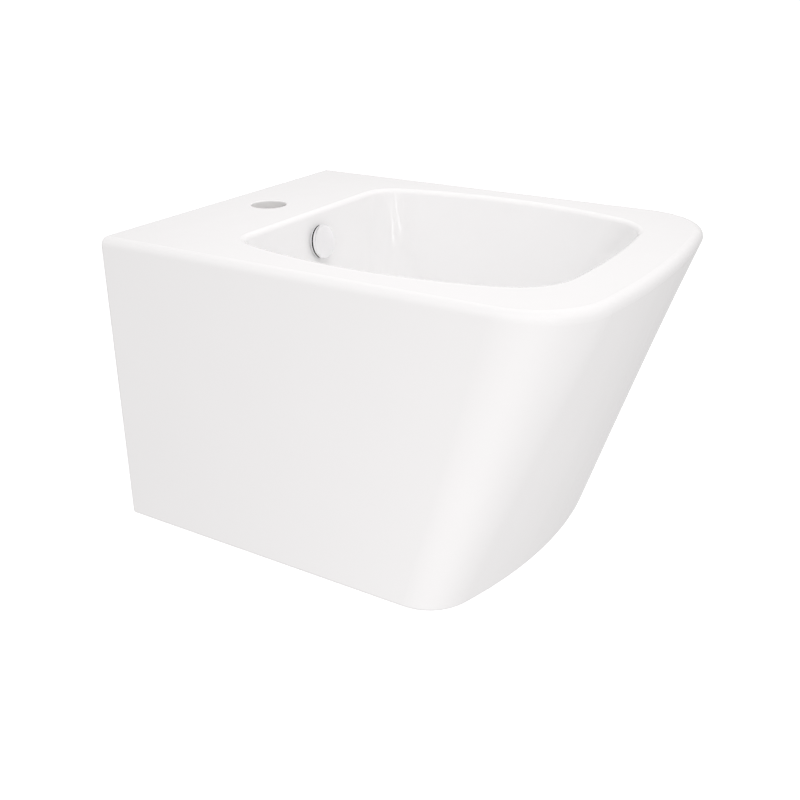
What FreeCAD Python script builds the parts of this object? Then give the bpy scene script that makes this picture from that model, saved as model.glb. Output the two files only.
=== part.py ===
import FreeCAD, Part
import math
import os
import re

import Sketcher
from FreeCAD import Placement, Rotation, Vector

# A wall-hung bidet: one hollow ceramic casting with its overflow cap, its push-to-close waste and
# its wall fixings. The wall is the plane y = 0, the bidet stands out of it towards -y, +z is up, and
# the origin lies on the wall, half way between the two fixing holes. Depths are distances from the wall.

# Driving dimensions: name, value in millimetres (slope and lean in degrees), meaning
SIZES = [
    ("body_width", 360, "across the two straight sides"),
    ("body_depth", 468, "depth of the rim at the middle of the front"),
    ("body_height", 283, "underside to rim"),
    ("base_depth", 382, "depth of the underside at the middle of the front"),
    ("rim_front_bow", 18, "how far the front bulges at the rim"),
    ("base_front_bow", 36, "how far the front bulges at the underside"),
    ("rim_corner_radius", 72, "front corners at the rim"),
    ("base_corner_radius", 46, "front corners at the underside"),
    ("rim_edge_radius", 8, "rounded outer edge of the rim"),
    ("base_edge_radius", 3, "rounded edge of the underside"),
    ("wall_edge_radius", 2.5, "eased edge round the wall face"),
    ("rim_above_fixing", 95, "rim above the line of the fixing holes"),
    ("shell_wall", 11, "thickness of the sides and front"),
    ("rear_wall", 18, "thickness of the wall that the fixings clamp"),
    ("deck_thickness", 15, "thickness of the tap deck and rim"),
    ("base_thickness", 11, "thickness of the turned-in foot"),
    ("base_lip", 36, "width of the turned-in foot"),
    ("service_width", 200, "opening in the wall face for the pipes"),
    ("service_height", 128, "top of that opening above the underside"),
    ("service_corner_radius", 22, "upper corners of that opening"),
    ("fixing_spacing", 180, "between the two fixing holes"),
    ("fixing_hole_radius", 10, "fixing holes in the ceramic"),
    ("tap_hole_radius", 17.5, "tap hole in the deck"),
    ("tap_hole_depth", 51, "tap hole's distance from the wall"),
    ("hole_edge_radius", 1.5, "glazed edge of the tap hole"),
    ("basin_half_width", 144, "middle plane to the widest part of the basin"),
    ("basin_mid_depth", 245, "depth at which the basin is widest"),
    ("basin_side_radius", 420, "gentle curve of the basin's sides"),
    ("basin_rear_depth", 108, "depth of the basin's back wall at the rim"),
    ("basin_front_depth", 414, "depth of the basin's front wall at the rim"),
    ("basin_front_radius", 700, "gentle curve of the basin's front"),
    ("basin_rear_corner", 30, "rear corners of the basin at the rim"),
    ("basin_front_corner", 56, "front corners of the basin at the rim"),
    ("basin_depth", 138, "rim to floor, measured at the drain"),
    ("floor_slope", 6, "floor's fall towards the back"),
    ("back_lean", 8, "lean of the basin's back wall"),
    ("floor_half_width", 122, "middle plane to the side of the floor"),
    ("floor_front_depth", 368, "depth of the floor's front"),
    ("floor_rear_corner", 54, "rear corners of the floor"),
    ("floor_front_corner", 74, "front corners of the floor"),
    ("floor_radius", 42, "sweep from the walls into the floor"),
    ("lip_radius", 5, "rounded inner edge of the rim"),
    ("basin_wall", 11, "thickness of the basin's walls and floor"),
    ("drain_depth", 225, "drain's distance from the wall"),
    ("drain_recess", 6, "drain seat below the floor"),
    ("drain_recess_radius", 36, "flat seat for the waste flange"),
    ("drain_hole_radius", 23, "drain hole"),
    ("boss_radius", 40, "collar under the drain"),
    ("boss_height", 42, "drain seat to the foot of the collar"),
    ("overflow_drop", 30, "overflow below the rim"),
    ("overflow_hole_radius", 12, "overflow hole"),
    ("duct_depth", 84, "rear of the overflow duct, from the wall"),
    ("duct_gap", 13, "overflow duct, front to back"),
    ("duct_width", 44, "overflow duct, side to side"),
    ("duct_wall", 8, "skin round the overflow duct"),
    ("duct_headroom", 16, "duct above the overflow's middle"),
    ("duct_drop", 14, "top of the duct's lower leg below the drain seat"),
    ("duct_height", 14, "height of the duct's lower leg"),
    ("duct_mouth", 30, "width of the duct's lower leg"),
    ("seal_thickness", 0.8, "rubber seal behind the overflow ring"),
    ("seal_radius", 15.5, "rubber seal behind the overflow ring"),
    ("ring_radius", 16.6, "overflow ring"),
    ("ring_thickness", 1.8, "overflow ring"),
    ("spigot_clearance", 0.3, "overflow spigot in its hole"),
    ("spigot_wall", 1.6, "wall of the overflow spigot"),
    ("spigot_length", 12, "overflow spigot behind the ring's seat"),
    ("cap_radius", 16.6, "overflow cap"),
    ("cap_gap", 1.6, "inlet between the overflow ring and its cap"),
    ("cap_thickness", 2.6, "overflow cap"),
    ("cap_edge_radius", 0.9, "rounded edge of the overflow cap"),
    ("leg_clearance", 0.2, "overflow cap's legs inside the spigot"),
    ("leg_thickness", 2, "overflow cap's legs"),
    ("leg_width", 6, "overflow cap's legs"),
    ("leg_length", 13, "overflow cap's legs"),
    ("gasket_thickness", 2.5, "rubber gasket under the waste flange"),
    ("gasket_radius", 31, "rubber gasket under the waste flange"),
    ("flange_radius", 33, "waste flange"),
    ("flange_thickness", 3, "waste flange"),
    ("flange_edge_radius", 1.2, "rounded edge of the waste flange"),
    ("tube_radius", 21.5, "waste tube through the drain, at the back nut's thread"),
    ("tube_bore", 18.2, "bore of the waste tube"),
    ("tube_clearance", 0.2, "rings and nut round the waste tube"),
    ("tail_radius", 20.95, "tail of the waste tube, G 1 1/4 for the trap"),
    ("tail_length", 17, "tail of the waste tube"),
    ("thread_runout", 2, "waste tube below the back nut, above its tail"),
    ("seat_radius", 22.5, "top of the plug's conical seat"),
    ("seat_height", 4, "height of the plug's conical seat"),
    ("slot_width", 20, "overflow slots in the waste tube"),
    ("slot_margin", 1, "slots inside the duct's height"),
    ("spider_drop", 34, "cross that carries the cartridge, below the drain seat"),
    ("spider_height", 8, "cross that carries the cartridge"),
    ("spider_rib", 2.6, "arms of the cross"),
    ("collar_wall", 2.6, "ring in the middle of the cross"),
    ("washer_radius", 30, "rings under the drain collar"),
    ("lower_gasket_thickness", 8, "tapered rubber gasket under the collar"),
    ("lower_gasket_taper", 3, "taper of that gasket"),
    ("slip_washer_thickness", 2, "plastic slip washer"),
    ("back_nut_height", 9, "waste back nut"),
    ("back_nut_flats", 54, "waste back nut across flats"),
    ("plug_radius", 27, "plug"),
    ("plug_thickness", 4.5, "plug"),
    ("plug_edge_radius", 2, "rounded edge of the plug"),
    ("plug_gap", 0.5, "closed plug above the waste flange"),
    ("plug_lift", 8, "plug's travel, closed to open"),
    ("plug_boss_radius", 8, "plug's boss round the stem"),
    ("plug_boss_height", 9, "plug's boss round the stem"),
    ("plug_seal_height", 4, "rubber seal under the plug"),
    ("plug_seal_clearance", 0.4, "rubber seal off its seat when closed"),
    ("stem_radius", 4, "plug stem"),
    ("stem_clearance", 0.06, "plug stem in its guide and in the plug's boss"),
    ("stem_engagement", 8, "plug stem inside the plug's boss"),
    ("piston_radius", 5.3, "piston on the plug stem"),
    ("piston_length", 5, "piston on the plug stem"),
    ("piston_gap", 0.3, "piston off its stops"),
    ("cartridge_radius", 9, "cartridge housing"),
    ("cartridge_clearance", 0.1, "cartridge in the cross"),
    ("cartridge_head_radius", 11.2, "cartridge head that rests on the cross"),
    ("cartridge_head", 3, "cartridge head"),
    ("cartridge_length", 38, "cartridge below its head"),
    ("cartridge_floor", 3, "bottom of the cartridge"),
    ("cartridge_bore", 5.6, "bore of the cartridge"),
    ("guide_height", 6, "guide bush of the stem"),
    ("guide_clearance", 0.05, "guide bush in the cartridge"),
    ("spring_wire", 0.9, "wire of the plug spring"),
    ("spring_radius", 4.3, "plug spring at the middle of its wire"),
    ("spring_turns", 6, "turns of the plug spring"),
    ("sleeve_clearance", 0.3, "fixing sleeve in the ceramic"),
    ("sleeve_bore", 6.5, "fixing sleeve round an M12 stud"),
    ("sleeve_flange_radius", 15, "flange of the fixing sleeve"),
    ("sleeve_flange", 3, "flange of the fixing sleeve"),
    ("fixing_washer_radius", 13.5, "fixing washer"),
    ("fixing_washer_thickness", 2.5, "fixing washer"),
    ("fixing_nut_bore", 6, "fixing nut at the stud's outer thread"),
    ("fixing_nut_flats", 19, "fixing nut across flats"),
    ("fixing_nut_height", 10, "fixing nut"),
]
NAMES = {name for name, _, _ in SIZES}

# Heights and depths that several pieces share, as formulas of the sizes above
RIM = "rim_above_fixing"
BASE = "(rim_above_fixing - body_height)"
DRAIN_FLOOR = "(rim_above_fixing - basin_depth)"
DRAIN_SEAT = "(rim_above_fixing - basin_depth - drain_recess)"
SLOPE = "(floor_slope * 1 deg)"
LEAN = "(back_lean * 1 deg)"
FLOOR_AT_WALL = f"({DRAIN_FLOOR} - drain_depth * tan({SLOPE}))"
FLOOR_REAR = (f"((basin_rear_depth + ({RIM} - {FLOOR_AT_WALL}) * tan({LEAN}))"
              f" / (cos({SLOPE}) + sin({SLOPE}) * tan({LEAN})))")
OVERFLOW_DEPTH = f"(basin_rear_depth + overflow_drop * tan({LEAN}))"
FLANGE_TOP = "(gasket_thickness + flange_thickness)"
SEAT_FOOT = f"({FLANGE_TOP} - seat_height)"
PLUG_UNDERSIDE = f"({FLANGE_TOP} + plug_gap + plug_lift)"
CARTRIDGE_TOP = "(cartridge_head - spider_drop)"
CARTRIDGE_FOOT = "(-spider_drop - cartridge_length)"
PISTON_TOP = f"({CARTRIDGE_TOP} - guide_height - piston_gap)"
COLLAR_FOOT = "(-boss_height)"
GASKET_FOOT = "(-boss_height - lower_gasket_thickness)"
SLIP_FOOT = "(-boss_height - lower_gasket_thickness - slip_washer_thickness)"
TAIL_TOP = f"({SLIP_FOOT} - back_nut_height - thread_runout)"
TAIL_FOOT = f"({TAIL_TOP} - tail_length)"
RING_FRONT = "(seal_thickness + ring_thickness)"
SPIGOT_RADIUS = "(overflow_hole_radius - spigot_clearance)"
SPIGOT_BORE = "(overflow_hole_radius - spigot_clearance - spigot_wall)"
SLEEVE_FRONT = "(rear_wall + sleeve_flange)"
WASHER_FRONT = "(rear_wall + sleeve_flange + fixing_washer_thickness)"

doc = FreeCAD.newDocument("bidet")
sheet = doc.addObject("Spreadsheet::Sheet", "sizes")
for row, (name, value, meaning) in enumerate(SIZES, 1):
    sheet.set(f"A{row}", name)
    sheet.set(f"B{row}", str(value))
    sheet.setAlias(f"B{row}", name)
    sheet.set(f"C{row}", meaning)
doc.recompute()


def size(name):
    """The value of one size in the sheet."""
    return float(sheet.get(name))


def formula(text):
    """A formula whose size names point into the sheet."""
    return re.sub(r"[a-z_]+", lambda word: f"sizes.{word[0]}" if word[0] in NAMES else word[0], text)


def bind(thing, **sizes):
    """Bind properties of an object to formulas; a double underscore stands for a dot."""
    for name, text in sizes.items():
        thing.setExpression(name.replace("__", "."), formula(text))
    return thing


def place(thing, x="0", y="0", z="0", tilt=None):
    """Bind an object's position and, where given, its turn about the X axis."""
    if tilt:
        thing.Placement = Placement(Vector(), Rotation(Vector(1, 0, 0), 90))
        bind(thing, Placement__Rotation__Angle=tilt)
    return bind(thing, Placement__Base__x=x, Placement__Base__y=y, Placement__Base__z=z)


def new_body(name):
    """A body with its own label."""
    body = doc.addObject("PartDesign::Body", name)
    body.Label = name
    return body


def new_sketch(body, role, name, height=None, turn=None):
    """A sketch on one of the body's origin planes, lifted by a height and turned about X."""
    sketch = body.newObject("Sketcher::SketchObject", name)
    plane = next(feature for feature in body.Origin.OriginFeatures if feature.Role == role)
    sketch.AttachmentSupport = (plane, [""])
    sketch.MapMode = "FlatFace"
    if turn:
        sketch.AttachmentOffset = Placement(Vector(), Rotation(Vector(1, 0, 0), -1))
        bind(sketch, AttachmentOffset__Rotation__Angle=turn)
    if height:
        bind(sketch, AttachmentOffset__Base__z=height)
    return sketch


def constrain(sketch, text, *what):
    """Add a dimension to a sketch and bind it to a formula."""
    index = sketch.addConstraint(Sketcher.Constraint(*what))
    sketch.setExpression(f"Constraints[{index}]", formula(text))


def polygon(sketch, corners):
    """Draw a closed outline of straight lines whose corners are formulas."""
    count = len(corners)
    ring = [Vector(math.cos(2 * math.pi * i / count), math.sin(2 * math.pi * i / count), 0)
            for i in range(count)]
    for i in range(count):
        sketch.addGeometry(Part.LineSegment(ring[i], ring[(i + 1) % count]), False)
    for i in range(count):
        sketch.addConstraint(Sketcher.Constraint("Coincident", i, 2, (i + 1) % count, 1))
    for i, (across, up) in enumerate(corners):
        constrain(sketch, across, "DistanceX", -1, 1, i, 1, ring[i].x)
        constrain(sketch, up, "DistanceY", -1, 1, i, 1, ring[i].y)


def turned(name, corners):
    """A body turned about its own Z axis from an outline of radius and height formulas."""
    body = new_body(name)
    sketch = new_sketch(body, "XZ_Plane", f"{name}_profile")
    polygon(sketch, corners)
    turn = body.newObject("PartDesign::Revolution", f"{name}_turn")
    turn.Profile = sketch
    turn.ReferenceAxis = (sketch, ["V_Axis"])
    turn.Angle = 360
    return body


def ring_between(name, inner, outer, low, high):
    """A plain flat ring."""
    return turned(name, [(inner, low), (outer, low), (outer, high), (inner, high)])


def hex_nut(name, flats, bore, low, height):
    """A six-sided nut about its own Z axis, with its corners turned off at both faces."""
    body = new_body(name)
    blank = body.newObject("PartDesign::AdditivePrism", f"{name}_blank")
    blank.Polygon = 6
    bind(blank, Circumradius=f"{flats} / 2 / cos(30 deg)", Height=height)
    place(blank, z=low)
    for face, level, inwards in (("lower", low, "+"), ("upper", f"{low} + {height}", "-")):
        sketch = new_sketch(body, "XZ_Plane", f"{name}_{face}_corners")
        polygon(sketch, [(f"{flats} / 2", level), (flats, level),
                         (flats, f"{level} {inwards} {flats} / 2 * tan(30 deg)")])
        chamfer = body.newObject("PartDesign::Groove", f"{name}_{face}_chamfer")
        chamfer.Profile = sketch
        chamfer.ReferenceAxis = (sketch, ["V_Axis"])
        chamfer.Angle = 360
    hole = body.newObject("PartDesign::SubtractiveCylinder", f"{name}_hole")
    bind(hole, Radius=bore, Height=height)
    place(hole, z=low)
    return body


def add_box(body, kind, name, x_low, x_high, y_low, y_high, z_low, z_high):
    """Add or cut a box between formulas for its six faces."""
    box = body.newObject(f"PartDesign::{kind}Box", name)
    bind(box, Length=f"({x_high}) - ({x_low})", Width=f"({y_high}) - ({y_low})",
         Height=f"({z_high}) - ({z_low})")
    return place(box, x_low, y_low, z_low)


def add_cylinder(body, kind, name, radius, low, high, x="0", y="0"):
    """Add or cut an upright cylinder between two heights."""
    cylinder = body.newObject(f"PartDesign::{kind}Cylinder", name)
    bind(cylinder, Radius=radius, Height=f"({high}) - ({low})")
    return place(cylinder, x, y, low)


def round_edges(body, name, radius, wanted):
    """Round the edges of the body's last feature that a test picks."""
    doc.recompute()
    base = body.Tip
    edges = [f"Edge{i}" for i, edge in enumerate(base.Shape.Edges, 1) if wanted(edge)]
    rounding = body.newObject("PartDesign::Fillet", name)
    rounding.Base = (base, edges)
    bind(rounding, Radius=radius)
    return rounding


def spans(edge, axis, value, tolerance=0.01):
    """Whether an edge lies wholly in the plane where one coordinate has a value."""
    box = edge.BoundBox
    low, high = getattr(box, f"{axis}Min"), getattr(box, f"{axis}Max")
    return abs(low - value) < tolerance and abs(high - value) < tolerance


def loft(body, kind, name, upper, lower):
    """A loft with straight rulings from an upper sketch down to a lower one."""
    feature = body.newObject(f"PartDesign::{kind}Loft", name)
    feature.Profile = upper
    feature.Sections = [lower]
    feature.Ruled = True
    return feature


def own_sizes(sketch, **sizes):
    """Give a sketch its own named sizes, bound to formulas, and return their values."""
    for name, text in sizes.items():
        sketch.addProperty("App::PropertyFloat", name, "Outline")
        sketch.setExpression(name, formula(text))
    doc.recompute()
    return [getattr(sketch, name) for name in sizes]


def arc(centre, radius, start, end):
    """The arc about a centre from one direction to another, anticlockwise, in radians."""
    return Part.ArcOfCircle(Part.Circle(centre, Vector(0, 0, 1), radius), start, end)


def bearing(centre, point):
    """The direction of a point seen from a centre, in radians."""
    return math.atan2(point.y - centre.y, point.x - centre.x)


def beyond(centre, inner, radius):
    """The point where the line from a centre through an inner point meets the radius."""
    direction = Vector(inner.x - centre.x, inner.y - centre.y, 0)
    direction.normalize()
    return centre + direction * radius


def join_smoothly(sketch, pairs):
    """Make each pair of edge ends meet without a corner."""
    for first, first_end, second, second_end in pairs:
        sketch.addConstraint(Sketcher.Constraint("Tangent", first, first_end, second, second_end))


def shell_outline(sketch, half_width, rear, front, bow, corner):
    """Outline with a straight back and sides, a bowed front and two round front corners."""
    half, back, depth, bulge, radius = own_sizes(
        sketch, HalfWidth=half_width, Rear=rear, Front=front, Bow=bow, Corner=corner)
    large = (half ** 2 + bulge ** 2) / (2 * bulge)
    middle = Vector(0, large - depth, 0)
    turn_y = middle.y - math.sqrt((large - radius) ** 2 - (half - radius) ** 2)
    right, left = Vector(half - radius, turn_y, 0), Vector(radius - half, turn_y, 0)
    right_end, left_end = beyond(middle, right, large), beyond(middle, left, large)
    for edge in (
            Part.LineSegment(Vector(half, -back, 0), Vector(-half, -back, 0)),
            Part.LineSegment(Vector(-half, -back, 0), Vector(-half, turn_y, 0)),
            arc(left, radius, math.pi, bearing(left, left_end) % (2 * math.pi)),
            arc(middle, large, bearing(middle, left_end), bearing(middle, right_end)),
            arc(right, radius, bearing(right, right_end), 0),
            Part.LineSegment(Vector(half, turn_y, 0), Vector(half, -back, 0))):
        sketch.addGeometry(edge, False)
    sketch.addConstraint(Sketcher.Constraint("Coincident", 0, 2, 1, 1))
    sketch.addConstraint(Sketcher.Constraint("Coincident", 5, 2, 0, 1))
    join_smoothly(sketch, [(1, 2, 2, 1), (2, 2, 3, 1), (3, 2, 4, 1), (4, 2, 5, 1)])
    sketch.addConstraint(Sketcher.Constraint("Vertical", 1))
    sketch.addConstraint(Sketcher.Constraint("Vertical", 5))
    sketch.addConstraint(Sketcher.Constraint("Symmetric", 0, 1, 0, 2, -2))
    sketch.addConstraint(Sketcher.Constraint("PointOnObject", 3, 3, -2))
    sketch.addConstraint(Sketcher.Constraint("Equal", 2, 4))
    constrain(sketch, "Corner", "Radius", 2, radius)
    constrain(sketch, "(HalfWidth ^ 2 + Bow ^ 2) / (2 * Bow)", "Radius", 3, large)
    constrain(sketch, "HalfWidth", "DistanceX", -1, 1, 0, 1, half)
    constrain(sketch, "-Rear", "DistanceY", -1, 1, 0, 1, -back)
    constrain(sketch, "(HalfWidth ^ 2 + Bow ^ 2) / (2 * Bow) - Front",
              "DistanceY", -1, 1, 3, 3, large - depth)


def basin_outline(sketch, half_width, rear, front, rear_corner, front_corner, grow="0"):
    """Outline with a straight back, gently curved sides and front, and four round corners.

    Grow moves the whole outline outwards.
    """
    half, back, depth, tight, wide, side_radius, front_radius, mid = own_sizes(
        sketch, HalfWidth=f"{half_width} + {grow}", Rear=f"{rear} - {grow}",
        Front=f"{front} + {grow}", RearCorner=f"{rear_corner} + {grow}",
        FrontCorner=f"{front_corner} + {grow}", SideRadius=f"basin_side_radius + {grow}",
        FrontRadius=f"basin_front_radius + {grow}", Middle="basin_mid_depth")
    flank = Vector(half - side_radius, -mid, 0)
    bow = Vector(0, front_radius - depth, 0)
    rise = side_radius - tight
    back_turn = Vector(flank.x + math.sqrt(rise ** 2 - (mid - back - tight) ** 2), -back - tight, 0)
    reach, span = side_radius - wide, front_radius - wide
    line = bow - flank
    along = (reach ** 2 - span ** 2 + line.Length ** 2) / (2 * line.Length)
    off = math.sqrt(reach ** 2 - along ** 2)
    unit = Vector(line.x, line.y, 0)
    unit.normalize()
    front_turn = flank + unit * along + Vector(unit.y, -unit.x, 0) * off
    side_start, side_end = beyond(flank, back_turn, side_radius), beyond(flank, front_turn, side_radius)
    front_end = beyond(bow, front_turn, front_radius)

    def other(point):
        """The mirror image of a point across the middle plane."""
        return Vector(-point.x, point.y, 0)

    def mirrored(centre, radius, start, end):
        """The mirror image of an arc, still anticlockwise."""
        return arc(other(centre), radius, math.pi - end, math.pi - start)

    turn = bearing(front_turn, front_end)
    corner_start, corner_end = bearing(back_turn, side_start), math.pi / 2
    side_low, side_high = bearing(flank, side_end), bearing(flank, side_start)
    front_high = bearing(front_turn, side_end)
    for edge in (
            Part.LineSegment(Vector(back_turn.x, -back, 0), Vector(-back_turn.x, -back, 0)),
            mirrored(back_turn, tight, corner_start, corner_end),
            mirrored(flank, side_radius, side_low, side_high),
            mirrored(front_turn, wide, turn, front_high),
            arc(bow, front_radius, math.pi - bearing(bow, front_end) - 2 * math.pi,
                bearing(bow, front_end)),
            arc(front_turn, wide, turn, front_high),
            arc(flank, side_radius, side_low, side_high),
            arc(back_turn, tight, corner_start, corner_end)):
        sketch.addGeometry(edge, False)
    join_smoothly(sketch, [(0, 2, 1, 1), (1, 2, 2, 1), (2, 2, 3, 1), (3, 2, 4, 1),
                           (4, 2, 5, 1), (5, 2, 6, 1), (6, 2, 7, 1), (7, 2, 0, 1)])
    sketch.addConstraint(Sketcher.Constraint("Horizontal", 0))
    sketch.addConstraint(Sketcher.Constraint("PointOnObject", 4, 3, -2))
    for left, right in ((1, 7), (2, 6), (3, 5)):
        sketch.addConstraint(Sketcher.Constraint("Equal", left, right))
    sketch.addConstraint(Sketcher.Constraint("Symmetric", 2, 3, 6, 3, -2))
    constrain(sketch, "RearCorner", "Radius", 7, tight)
    constrain(sketch, "SideRadius", "Radius", 6, side_radius)
    constrain(sketch, "FrontCorner", "Radius", 5, wide)
    constrain(sketch, "FrontRadius", "Radius", 4, front_radius)
    constrain(sketch, "-Rear", "DistanceY", -1, 1, 0, 1, -back)
    constrain(sketch, "FrontRadius - Front", "DistanceY", -1, 1, 4, 3, bow.y)
    constrain(sketch, "HalfWidth - SideRadius", "DistanceX", -1, 1, 6, 3, flank.x)
    constrain(sketch, "-Middle", "DistanceY", -1, 1, 6, 3, flank.y)


def basin_loft(body, kind, name, grow):
    """The basin's form, from the rim down to its sloping floor, grown by a wall thickness."""
    top = new_sketch(body, "XY_Plane", f"{name}_mouth", height=RIM)
    basin_outline(top, "basin_half_width", "basin_rear_depth", "basin_front_depth",
                  "basin_rear_corner", "basin_front_corner", grow)
    floor = new_sketch(body, "XY_Plane", f"{name}_floor", height=f"{FLOOR_AT_WALL} - {grow}",
                       turn=f"-{SLOPE}")
    basin_outline(floor, "floor_half_width", FLOOR_REAR, "floor_front_depth",
                  "floor_rear_corner", "floor_front_corner", grow)
    return loft(body, kind, name, top, floor)


def on_floor(edge, drop):
    """Whether an edge lies in the basin's sloping floor, lowered by a drop."""
    slope = math.tan(math.radians(size("floor_slope")))
    level = size("rim_above_fixing") - size("basin_depth") - size("drain_depth") * slope - drop
    return all(abs(vertex.Z - level + vertex.Y * slope) < 0.01 for vertex in edge.Vertexes)


# Ceramic casting
def service_cavity():
    """The hollow under the basin: inside of the shell, less the basin and its ducts."""
    body = new_body("service_cavity")
    low = new_sketch(body, "XY_Plane", "cavity_base", height=BASE)
    shell_outline(low, "body_width / 2 - shell_wall", "rear_wall", "base_depth - shell_wall",
                  "base_front_bow", "base_corner_radius - shell_wall")
    high = new_sketch(body, "XY_Plane", "cavity_rim", height=RIM)
    shell_outline(high, "body_width / 2 - shell_wall", "rear_wall", "body_depth - shell_wall",
                  "rim_front_bow", "rim_corner_radius - shell_wall")
    loft(body, "Additive", "cavity_block", high, low)
    for name, z_low, z_high in (("deck", f"{RIM} - deck_thickness", RIM),
                                ("foot", BASE, f"{BASE} + base_thickness")):
        add_box(body, "Subtractive", f"cavity_{name}", "-body_width / 2", "body_width / 2",
                "-body_depth", "0", z_low, z_high)
    basin_loft(body, "Subtractive", "tub", "basin_wall")
    round_edges(body, "tub_sweep", "floor_radius + basin_wall",
                lambda edge: on_floor(edge, size("basin_wall")))
    add_cylinder(body, "Subtractive", "drain_collar", "boss_radius",
                 f"{DRAIN_SEAT} - boss_height", DRAIN_SEAT, y="-drain_depth")
    half = "(duct_width / 2 + duct_wall)"
    add_box(body, "Subtractive", "duct_column", f"-{half}", half,
            f"-{FLOOR_REAR} - floor_radius - basin_wall", "duct_wall - duct_depth",
            f"{DRAIN_SEAT} - boss_height", f"{RIM} - deck_thickness")
    add_box(body, "Subtractive", "duct_leg", f"-{half}", half, "-drain_depth",
            "duct_wall - duct_depth", f"{DRAIN_SEAT} - boss_height", DRAIN_SEAT)
    return body


def ceramic_body():
    """The casting: a wedge with a bowed front, its basin, hollow, ducts and holes."""
    body = new_body("ceramic_body")
    low = new_sketch(body, "XY_Plane", "base_outline", height=BASE)
    shell_outline(low, "body_width / 2", "0", "base_depth", "base_front_bow", "base_corner_radius")
    high = new_sketch(body, "XY_Plane", "rim_outline", height=RIM)
    shell_outline(high, "body_width / 2", "0", "body_depth", "rim_front_bow", "rim_corner_radius")
    loft(body, "Additive", "shell", high, low)
    rim = size("rim_above_fixing")
    base = rim - size("body_height")
    round_edges(body, "rim_edge", "rim_edge_radius",
                lambda edge: spans(edge, "Z", rim) and not spans(edge, "Y", 0))
    round_edges(body, "base_edge", "base_edge_radius",
                lambda edge: spans(edge, "Z", base) and not spans(edge, "Y", 0))
    round_edges(body, "wall_edge", "wall_edge_radius", lambda edge: spans(edge, "Y", 0))
    basin_loft(body, "Subtractive", "basin", "0")
    round_edges(body, "floor_sweep", "floor_radius", lambda edge: on_floor(edge, 0))
    inside = size("body_width") / 2 - size("rim_edge_radius") - 1
    round_edges(body, "lip", "lip_radius",
                lambda edge: spans(edge, "Z", rim) and abs(edge.BoundBox.XMax) < inside
                and edge.BoundBox.YMax < -size("basin_rear_depth") + 1)
    hollow = body.newObject("PartDesign::Boolean", "hollow")
    hollow.setObjects([service_cavity()])
    hollow.Type = "Cut"
    foot = new_sketch(body, "XY_Plane", "foot_opening", height=BASE)
    shell_outline(foot, "body_width / 2 - base_lip", "rear_wall", "base_depth - base_lip",
                  "base_front_bow", "base_corner_radius - shell_wall")
    pocket = body.newObject("PartDesign::Pocket", "foot_pocket")
    pocket.Profile = foot
    pocket.Reversed = True
    bind(pocket, Length="base_thickness")
    add_box(body, "Subtractive", "service_opening", "-service_width / 2", "service_width / 2",
            "-rear_wall", "0", BASE, f"{BASE} + service_height")
    arch = base + size("service_height")
    round_edges(body, "service_corners", "service_corner_radius",
                lambda edge: spans(edge, "Z", arch) and edge.BoundBox.XLength < 0.01)
    add_cylinder(body, "Subtractive", "tap_hole", "tap_hole_radius", f"{RIM} - deck_thickness", RIM,
                 y="-tap_hole_depth")
    round_edges(body, "tap_hole_edge", "hole_edge_radius",
                lambda edge: spans(edge, "Z", rim) and edge.BoundBox.YMin > -size("basin_rear_depth")
                and len(edge.Vertexes) < 2)
    for side, name in ((-1, "left"), (1, "right")):
        hole = body.newObject("PartDesign::SubtractiveCylinder", f"fixing_hole_{name}")
        bind(hole, Radius="fixing_hole_radius", Height="rear_wall")
        place(hole, x=f"{side} * fixing_spacing / 2", tilt="90 deg")
    add_cylinder(body, "Subtractive", "drain_seat", "drain_recess_radius", DRAIN_SEAT,
                 f"{DRAIN_SEAT} + floor_radius", y="-drain_depth")
    add_cylinder(body, "Subtractive", "drain_hole", "drain_hole_radius", f"{DRAIN_SEAT} - boss_height",
                 DRAIN_SEAT, y="-drain_depth")
    leg_foot = f"{DRAIN_SEAT} - duct_drop - duct_height"
    add_box(body, "Subtractive", "duct_rise", "-duct_width / 2", "duct_width / 2",
            "-duct_depth - duct_gap", "-duct_depth", leg_foot,
            f"{RIM} - overflow_drop + duct_headroom")
    add_box(body, "Subtractive", "duct_run", "-duct_mouth / 2", "duct_mouth / 2", "-drain_depth",
            "-duct_depth", leg_foot, f"{DRAIN_SEAT} - duct_drop")
    hole = body.newObject("PartDesign::SubtractiveCylinder", "overflow_hole")
    bind(hole, Radius="overflow_hole_radius",
         Height=f"({OVERFLOW_DEPTH} - duct_depth - duct_gap / 2) / cos({LEAN})")
    place(hole, y="-duct_depth - duct_gap / 2",
          z=f"{RIM} - overflow_drop - ({OVERFLOW_DEPTH} - duct_depth - duct_gap / 2) * tan({LEAN})",
          tilt=f"90 deg - {LEAN}")
    return body


# Overflow cap and ring, about an axis that stands square on the basin's back wall
def at_overflow(body):
    """Seat a body on the basin's back wall at the overflow."""
    return place(body, y=f"-{OVERFLOW_DEPTH}", z=f"{RIM} - overflow_drop", tilt=f"90 deg - {LEAN}")


def overflow_seal():
    """Flat rubber ring between the overflow ring and the ceramic."""
    return at_overflow(ring_between("overflow_seal", "overflow_hole_radius", "seal_radius",
                                    "0", "seal_thickness"))


def overflow_ring():
    """Flanged ring whose spigot pushes into the overflow hole."""
    return at_overflow(turned("overflow_ring", [
        (SPIGOT_BORE, "-spigot_length"), (SPIGOT_RADIUS, "-spigot_length"),
        (SPIGOT_RADIUS, "seal_thickness"), ("ring_radius", "seal_thickness"),
        ("ring_radius", RING_FRONT), (SPIGOT_BORE, RING_FRONT)]))


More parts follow.
